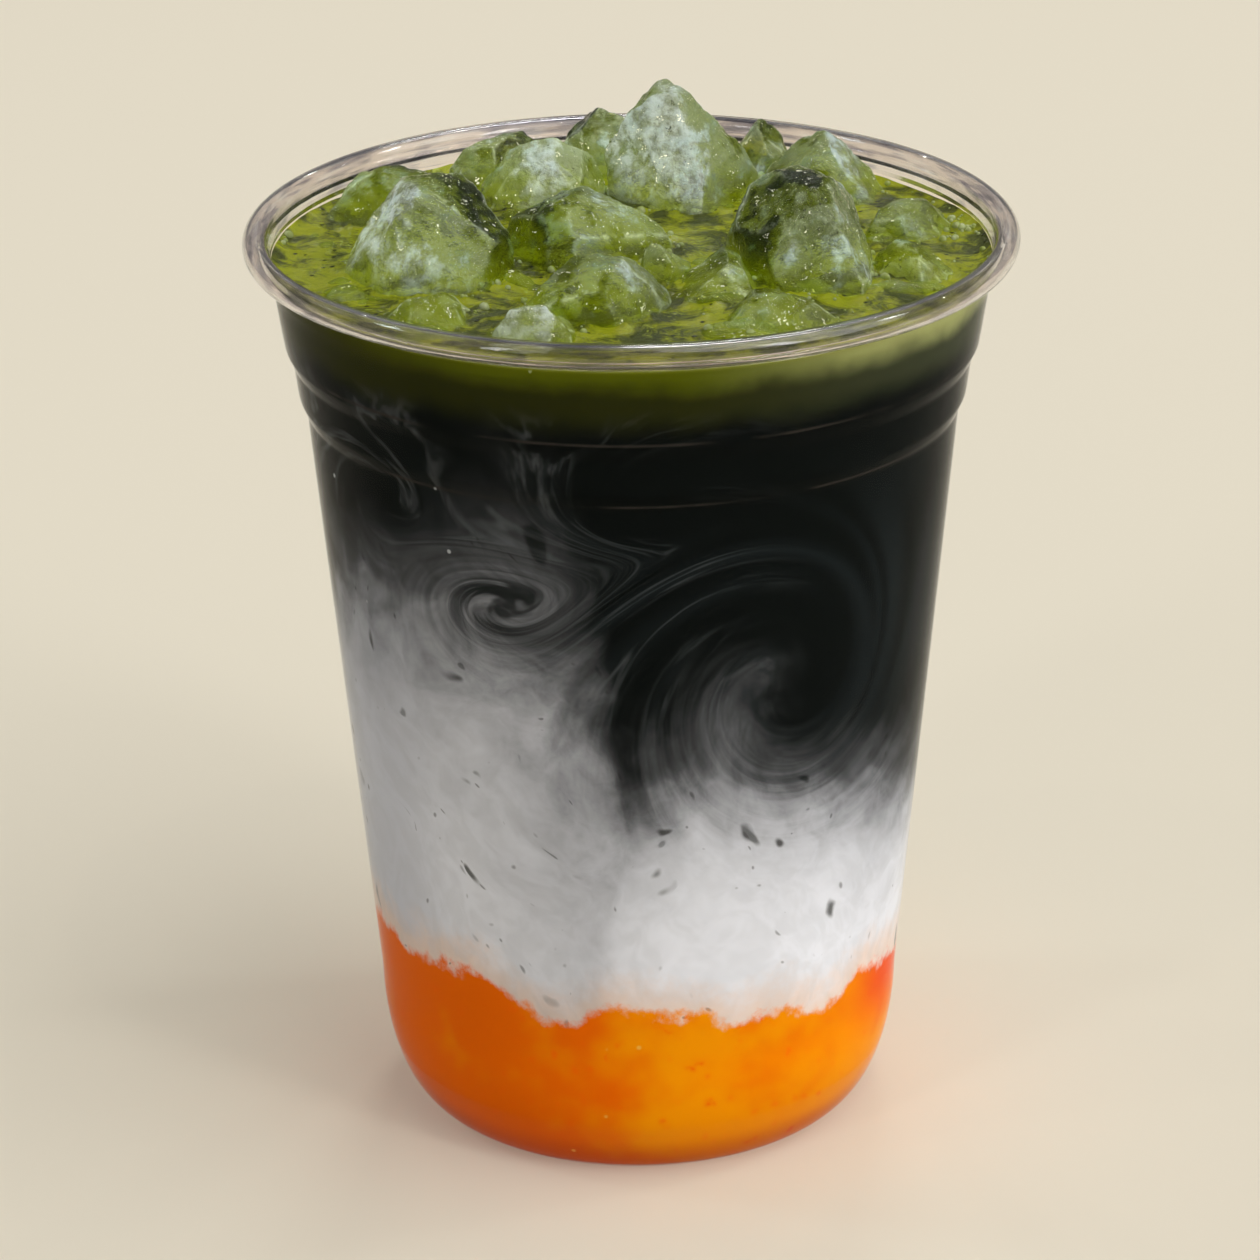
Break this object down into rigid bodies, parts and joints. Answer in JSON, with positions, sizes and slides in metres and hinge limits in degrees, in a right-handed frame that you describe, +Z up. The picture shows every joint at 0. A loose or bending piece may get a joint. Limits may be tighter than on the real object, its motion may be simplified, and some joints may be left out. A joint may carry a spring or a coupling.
{
  "type": "iced matcha latte in a clear cup",
  "caption": "Clear thin-walled take-away cup filled to the rim with orange fruit base, milk, dark tea and green matcha under a heap of melting ice.",
  "frame": {"origin": "middle of the cup's foot, on the surface it stands on", "axes": "+Z up along the cup's axis; the pictured side faces -Y; +X to its right"},
  "size_m": [0.098, 0.098, 0.1293],
  "materials": {
    "clear_plastic": null,
    "orange_fruit": "thick wet orange fruit puree",
    "cold_milk": "milk, grey where the tea runs into it",
    "dark_tea": "near-black tea with thin swirls of milk",
    "green_matcha": "wet yellow-green matcha with fine froth",
    "melting_ice": "cloudy wet ice with a green tinge"
  },
  "bodies": {
    "root": {"cup": "clear_plastic", "fruit_base": "orange_fruit", "milk_layer": "cold_milk", "tea_layer": "dark_tea", "matcha_layer": "green_matcha", "ice_peak_back": "melting_ice", "ice_block_left": "melting_ice", "ice_white_top": "melting_ice", "ice_centre": "melting_ice", "ice_slab_front": "melting_ice", "ice_chip_front": "melting_ice", "ice_block_right": "melting_ice", "ice_back_right": "melting_ice", "ice_flat_right": "melting_ice", "ice_chip_right": "melting_ice", "ice_green_back": "melting_ice", "ice_back_left": "melting_ice", "ice_far_left": "melting_ice", "ice_lump_right": "melting_ice", "ice_chip_centre": "melting_ice", "ice_sliver_back": "melting_ice", "ice_flat_front_right": "melting_ice", "ice_flat_front_left": "melting_ice"}
  },
  "joints": []
}
